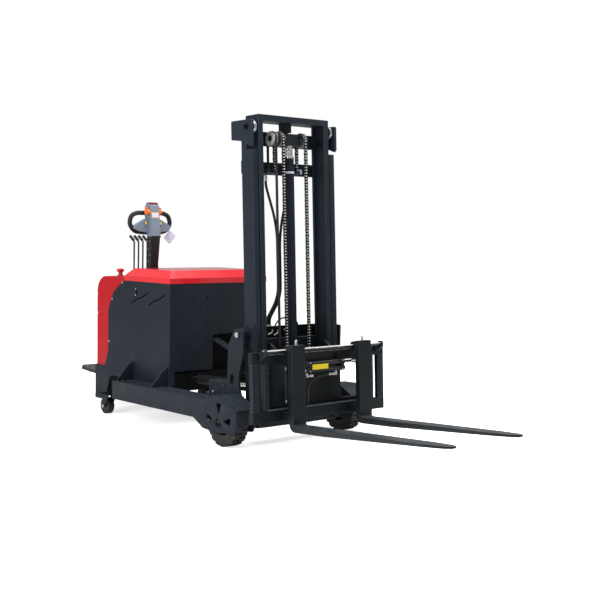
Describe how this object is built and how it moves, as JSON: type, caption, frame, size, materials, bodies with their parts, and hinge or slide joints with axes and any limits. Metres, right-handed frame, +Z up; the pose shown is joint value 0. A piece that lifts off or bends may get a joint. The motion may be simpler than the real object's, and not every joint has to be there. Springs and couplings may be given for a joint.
{
  "type": "rough terrain stacker",
  "caption": "Battery stacker with straddle legs, big front wheels, tilting two-stage mast, sliding forks, steered drive wheel, tiller and fold-up platform.",
  "frame": {"origin": "on the floor, under the middle of the whole length and width", "axes": "+X towards the fork tips, +Y to the truck's left, +Z up"},
  "size_m": [3.7451, 1.064, 1.9359],
  "materials": {
    "frame_paint": "semi-gloss powder coat",
    "mast_paint": "semi-gloss powder coat",
    "fork_paint": "semi-gloss black paint",
    "red_paint": "gloss paint",
    "battery_case": "matt",
    "black_grip": "matt",
    "tiller_grey": "fine moulded grain",
    "red_plastic": "gloss",
    "tyre_rubber": "matt rubber",
    "wheel_paint": "semi-gloss",
    "roller_tyre": "matt",
    "chrome": "polished",
    "bright_steel": "turned",
    "hose_rubber": "satin",
    "chain_steel": "oiled"
  },
  "bodies": {
    "chassis": {"leg_left": "frame_paint", "leg_right": "frame_paint", "mast_mount_left": "frame_paint", "mast_mount_right": "frame_paint", "side_panel_left": "frame_paint", "side_panel_right": "frame_paint", "leg_gussets": "frame_paint", "base_frame": "frame_paint", "front_panel": "frame_paint", "rear_skirt": "frame_paint", "rear_cowl": "red_paint", "battery_block": "battery_case", "lid_hinge_pins": "frame_paint", "control_levers": "black_grip", "stop_button": "red_plastic", "body_hoses": "hose_rubber"},
    "battery_lid": {"battery_lid": "red_paint"},
    "platform": {"platform_deck": "frame_paint"},
    "steer_unit": {"drive_unit": "frame_paint", "steering_head": "frame_paint"},
    "drive_wheel": {"drive_wheel": "roller_tyre"},
    "tiller": {"tiller_column": "black_grip", "tiller_head": "tiller_grey", "tiller_handle": "black_grip"},
    "outer_mast": {"outer_rail_left": "mast_paint", "outer_rail_right": "mast_paint", "outer_cross_members": "mast_paint", "guide_brackets": "mast_paint", "lift_barrel": "mast_paint", "chain_rear_strands": "chain_steel", "hose_rear_strand": "hose_rubber", "mast_hoses": "hose_rubber"},
    "inner_mast": {"inner_rail_left": "mast_paint", "inner_rail_right": "mast_paint", "inner_cross_members": "mast_paint", "lift_rod": "chrome", "mast_sheaves": "bright_steel", "chain_front_strands": "chain_steel", "hose_front_strand": "hose_rubber"},
    "carriage": {"lift_carriage": "mast_paint"},
    "fork_frame": {"fork_frame_bars": "fork_paint", "fork_frame_ends": "fork_paint", "fork_hanging_shaft": "chrome", "fork_spreader": "fork_paint"},
    "fork_left": {"fork_left": "fork_paint"},
    "fork_right": {"fork_right": "fork_paint"},
    "front_wheel_left": {"front_tyre_left": "tyre_rubber", "front_hub_left": "wheel_paint"},
    "castor_fork_left": {"castor_fork_left": "frame_paint"},
    "castor_wheel_left": {"castor_wheel_left": "roller_tyre"},
    "front_wheel_right": {"front_tyre_right": "tyre_rubber", "front_hub_right": "wheel_paint"},
    "castor_fork_right": {"castor_fork_right": "frame_paint"},
    "castor_wheel_right": {"castor_wheel_right": "roller_tyre"},
    "tilt_barrel_left": {"tilt_barrel_left": "mast_paint"},
    "tilt_rod_left": {"tilt_rod_left": "chrome"},
    "tilt_barrel_right": {"tilt_barrel_right": "mast_paint"},
    "tilt_rod_right": {"tilt_rod_right": "chrome"}
  },
  "joints": [
    {"name": "front_wheel_left_roll", "type": "hinge", "parent": "chassis", "child": "front_wheel_left", "pos_m": [0.31237, 0.461, 0.14], "axis": [0, 1, 0], "continuous": true},
    {"name": "castor_left_swivel", "type": "hinge", "parent": "chassis", "child": "castor_fork_left", "pos_m": [-1.06263, 0.405, 0.138], "axis": [0, 0, 1], "continuous": true},
    {"name": "castor_left_roll", "type": "hinge", "parent": "castor_fork_left", "child": "castor_wheel_left", "pos_m": [-1.09263, 0.405, 0.055], "axis": [0, 1, 0], "continuous": true},
    {"name": "front_wheel_right_roll", "type": "hinge", "parent": "chassis", "child": "front_wheel_right", "pos_m": [0.31237, -0.461, 0.14], "axis": [0, 1, 0], "continuous": true},
    {"name": "castor_right_swivel", "type": "hinge", "parent": "chassis", "child": "castor_fork_right", "pos_m": [-1.06263, -0.405, 0.138], "axis": [0, 0, 1], "continuous": true},
    {"name": "castor_right_roll", "type": "hinge", "parent": "castor_fork_right", "child": "castor_wheel_right", "pos_m": [-1.09263, -0.405, 0.055], "axis": [0, 1, 0], "continuous": true},
    {"name": "steering", "type": "hinge", "parent": "chassis", "child": "steer_unit", "pos_m": [-1.12763, 0, 0.93], "axis": [0, 0, 1], "range_deg": [-50, 50]},
    {"name": "drive_wheel_roll", "type": "hinge", "parent": "steer_unit", "child": "drive_wheel", "pos_m": [-1.12763, 0, 0.115], "axis": [0, 1, 0], "continuous": true},
    {"name": "tiller_tilt", "type": "hinge", "parent": "steer_unit", "child": "tiller", "pos_m": [-1.16463, 0, 0.968], "axis": [0, -1, 0], "range_deg": [0, 70], "stiffness_Nm_per_rad": 14, "springref_deg": -34.38},
    {"name": "platform_fold", "type": "hinge", "parent": "chassis", "child": "platform", "pos_m": [-1.31263, 0, 0.21], "axis": [0, 1, 0], "range_deg": [0, 86]},
    {"name": "lid_hinge", "type": "hinge", "parent": "chassis", "child": "battery_lid", "pos_m": [-0.64763, 0.403, 0.907], "axis": [-1, 0, 0], "range_deg": [0, 75]},
    {"name": "mast_tilt", "type": "hinge", "parent": "chassis", "child": "outer_mast", "pos_m": [0.30437, 0, 0.647], "axis": [0, 1, 0], "range_deg": [-3, 6], "deforming": ["body_hoses"]},
    {"name": "mast_lift", "type": "slide", "parent": "outer_mast", "child": "inner_mast", "axis": [-0.0523, 0, 0.9986], "range_m": [0, 1.25], "deforming": ["chain_rear_strands", "hose_rear_strand"]},
    {"name": "carriage_lift", "type": "slide", "parent": "inner_mast", "child": "carriage", "axis": [-0.0523, 0, 0.9986], "range_m": [0, 1.25], "deforming": ["chain_front_strands", "hose_front_strand"]},
    {"name": "side_shift", "type": "slide", "parent": "carriage", "child": "fork_frame", "axis": [0, 1, 0], "range_m": [-0.08, 0.08]},
    {"name": "fork_left_spread", "type": "slide", "parent": "fork_frame", "child": "fork_left", "axis": [0, 1, 0], "range_m": [-0.05, 0.13]},
    {"name": "fork_right_spread", "type": "slide", "parent": "fork_frame", "child": "fork_right", "axis": [0, -1, 0], "range_m": [-0.05, 0.13]},
    {"name": "tilt_barrel_left_turn", "type": "hinge", "parent": "chassis", "child": "tilt_barrel_left", "pos_m": [-0.36263, 0.2, 0.3], "axis": [0, 1, 0], "range_deg": [-3, 2]},
    {"name": "tilt_rod_left_slide", "type": "slide", "parent": "tilt_barrel_left", "child": "tilt_rod_left", "axis": [0.9991, 0, 0.0433], "range_m": [-0.045, 0.03]},
    {"name": "tilt_barrel_right_turn", "type": "hinge", "parent": "chassis", "child": "tilt_barrel_right", "pos_m": [-0.36263, -0.2, 0.3], "axis": [0, 1, 0], "range_deg": [-3, 2]},
    {"name": "tilt_rod_right_slide", "type": "slide", "parent": "tilt_barrel_right", "child": "tilt_rod_right", "axis": [0.9991, 0, 0.0433], "range_m": [-0.045, 0.03]}
  ],
  "couplings": [
    {"joint": "carriage_lift", "follows": "mast_lift", "ratio": 1},
    {"joint": "tilt_barrel_left_turn", "follows": "mast_tilt", "ratio": -0.15994},
    {"joint": "tilt_rod_left_slide", "follows": "mast_tilt", "m_per_rad": -0.31459},
    {"joint": "tilt_barrel_right_turn", "follows": "mast_tilt", "ratio": -0.15994},
    {"joint": "tilt_rod_right_slide", "follows": "mast_tilt", "m_per_rad": -0.31459}
  ]
}
